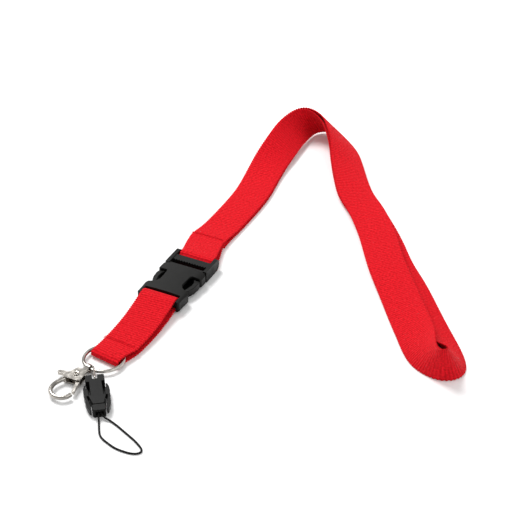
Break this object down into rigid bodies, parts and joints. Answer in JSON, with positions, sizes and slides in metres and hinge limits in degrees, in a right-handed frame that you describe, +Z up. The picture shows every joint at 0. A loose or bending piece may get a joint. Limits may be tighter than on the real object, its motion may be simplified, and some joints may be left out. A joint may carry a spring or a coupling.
{
  "type": "neck lanyard with side-release buckle",
  "caption": "Webbing neck lanyard with a side-release buckle, key ring, swivel trigger clasp and a detachable phone loop.",
  "frame": {"origin": "centre of the lanyard's footprint on the table, without its phone loop", "axes": "+Z up from the table; +Y towards the far bend of the neck loop; +X to the right, towards the loop's end"},
  "size_m": [0.2059, 0.2943, 0.0206],
  "materials": {
    "webbing": "woven polyester, ribbed",
    "thread": "sewn polyester thread",
    "buckle_plastic": "moulded, fine matt grain",
    "connector_plastic": "moulded, satin",
    "ring_wire": "bright nickel plate",
    "clasp_metal": "nickel plated, polished",
    "cord": "thin waxed cord"
  },
  "bodies": {
    "neck_strap": {"neck_webbing": "webbing", "neck_bartack": "thread", "buckle_male_frame": "buckle_plastic"},
    "buckle_prong_left": {"buckle_prong_left": "buckle_plastic"},
    "buckle_prong_right": {"buckle_prong_right": "buckle_plastic"},
    "short_strap": {"buckle_female": "buckle_plastic", "short_webbing": "webbing", "short_stitching": "thread"},
    "key_ring": {"key_ring": "ring_wire"},
    "swivel": {"swivel_eye": "clasp_metal", "swivel_rivet": "clasp_metal"},
    "clasp": {"clasp_body": "clasp_metal", "clasp_gate_spring": "clasp_metal", "clasp_gate_rivet": "clasp_metal"},
    "gate": {"clasp_gate": "clasp_metal"},
    "wire_link": {"wire_link": "ring_wire"},
    "connector_top": {"connector_socket": "connector_plastic"},
    "connector_plug": {"connector_plug": "connector_plastic", "cord_crimp": "clasp_metal", "phone_cord": "cord"},
    "connector_prong_left": {"connector_prong_left": "connector_plastic"},
    "connector_prong_right": {"connector_prong_right": "connector_plastic"}
  },
  "joints": [
    {"name": "prong_right_squeeze", "type": "hinge", "parent": "neck_strap", "child": "buckle_prong_right", "pos_m": [-0.03164, -0.02339, 0.00365], "axis": [0, 0, -1], "range_deg": [0, 11], "stiffness_Nm_per_rad": 0.05},
    {"name": "prong_left_squeeze", "type": "hinge", "parent": "neck_strap", "child": "buckle_prong_left", "pos_m": [-0.04775, -0.01536, 0.00365], "axis": [0, 0, 1], "range_deg": [0, 11], "stiffness_Nm_per_rad": 0.05},
    {"name": "buckle_release", "type": "slide", "parent": "neck_strap", "child": "short_strap", "axis": [-0.4462, -0.8949, 0], "range_m": [0, 0.03], "deforming": ["buckle_prong_left", "buckle_prong_right"]},
    {"name": "ring_turn", "type": "hinge", "parent": "short_strap", "child": "key_ring", "pos_m": [-0.0779, -0.0916, 0.00225], "axis": [0, 0, 1], "range_deg": [-25, 25]},
    {"name": "clasp_swing", "type": "hinge", "parent": "key_ring", "child": "swivel", "pos_m": [-0.08476, -0.09906, 0.00225], "axis": [-0.7912, 0.6115, 0], "range_deg": [0, 70]},
    {"name": "clasp_swivel", "type": "hinge", "parent": "swivel", "child": "clasp", "pos_m": [-0.0902, -0.1061, 0.0026], "axis": [0.6115, 0.7912, 0], "range_deg": [-120, 120]},
    {"name": "gate_open", "type": "hinge", "parent": "clasp", "child": "gate", "pos_m": [-0.0902, -0.1061, 0.0026], "axis": [0, 0, -1], "range_deg": [0, 28], "stiffness_Nm_per_rad": 0.01},
    {"name": "link_swing", "type": "hinge", "parent": "key_ring", "child": "wire_link", "pos_m": [-0.08219, -0.10058, 0.00225], "axis": [-0.991, -0.134, 0], "range_deg": [0, 40]},
    {"name": "connector_swing", "type": "hinge", "parent": "wire_link", "child": "connector_top", "pos_m": [-0.08117, -0.10809, 0.00225], "axis": [-0.9851, -0.1719, 0], "range_deg": [0, 30]},
    {"name": "connector_release", "type": "slide", "parent": "connector_top", "child": "connector_plug", "axis": [0.1719, -0.9851, 0], "range_m": [0, 0.018], "deforming": ["connector_prong_left", "connector_prong_right"]},
    {"name": "connector_right_squeeze", "type": "hinge", "parent": "connector_plug", "child": "connector_prong_right", "pos_m": [-0.0729, -0.13162, 0.0026], "axis": [0, 0, 1], "range_deg": [0, 3.5], "stiffness_Nm_per_rad": 0.02},
    {"name": "connector_left_squeeze", "type": "hinge", "parent": "connector_plug", "child": "connector_prong_left", "pos_m": [-0.08098, -0.13303, 0.0026], "axis": [0, 0, -1], "range_deg": [0, 3.5], "stiffness_Nm_per_rad": 0.02}
  ],
  "couplings": [
    {"joint": "prong_left_squeeze", "follows": "prong_right_squeeze", "ratio": 1},
    {"joint": "connector_left_squeeze", "follows": "connector_right_squeeze", "ratio": 1}
  ]
}
